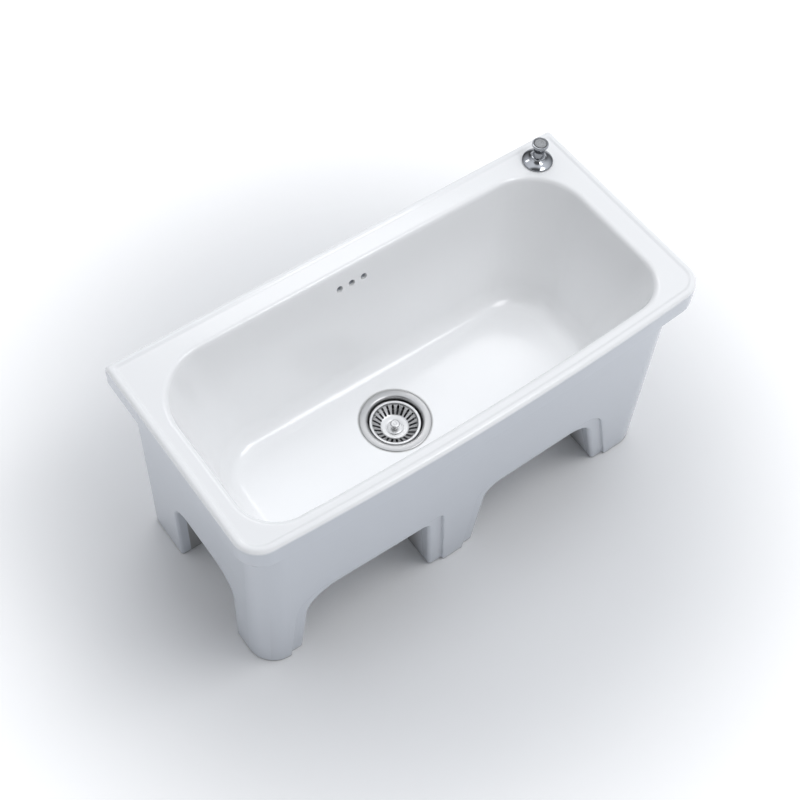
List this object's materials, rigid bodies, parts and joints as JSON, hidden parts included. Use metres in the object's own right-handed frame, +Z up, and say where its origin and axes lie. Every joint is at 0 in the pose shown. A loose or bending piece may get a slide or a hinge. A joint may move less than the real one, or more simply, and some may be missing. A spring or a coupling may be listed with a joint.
{
  "type": "mop sink",
  "caption": "Floor-standing glazed ceramic mop sink on arched hollow feet, with a rounded basin, overflow, lift-out strainer basket and a deck pull knob that raises the basket.",
  "frame": {"origin": "middle of the rim's outline, on the floor under the feet", "axes": "+X to the right along the rim, +Y to the wall behind, +Z up"},
  "size_m": [0.81, 0.3849, 0.4426],
  "materials": {
    "ceramic": "white glaze with a soft gloss",
    "steel": "circular brushed stainless steel",
    "rubber": "matt black rubber",
    "plastic": "moulded dark grey plastic",
    "chrome": "polished chrome plate",
    "brass": "plain turned brass",
    "cap": "grey cap turned with fine rings"
  },
  "bodies": {
    "sink": {"sink_body": "ceramic", "waste_flange": "steel", "flange_seal": "rubber", "body_gasket": "rubber", "waste_body": "plastic", "fixing_screw": "steel", "waste_gland": "plastic", "overflow_grommet": "rubber", "overflow_tail": "plastic", "rosette_seal": "rubber", "control_rosette": "chrome", "control_shank": "brass", "deck_washer": "rubber", "lock_nut": "brass", "control_gland": "plastic"},
    "knob": {"control_knob": "chrome", "knob_cap": "cap", "control_spindle": "chrome"},
    "lift": {"lift_pin": "steel"},
    "basket": {"strainer_basket": "steel", "basket_knob": "steel", "basket_plug": "plastic", "basket_seal": "rubber"}
  },
  "joints": [
    {"name": "knob_pull", "type": "slide", "parent": "sink", "child": "knob", "axis": [0, 0, 1], "range_m": [0, 0.02]},
    {"name": "pin_lift", "type": "slide", "parent": "sink", "child": "lift", "axis": [0, 0, 1], "range_m": [0, 0.009]},
    {"name": "basket_lift_out", "type": "slide", "parent": "lift", "child": "basket", "axis": [0, 0, 1], "range_m": [0, 0.06]}
  ],
  "couplings": [
    {"joint": "pin_lift", "follows": "knob_pull", "ratio": 0.45}
  ]
}
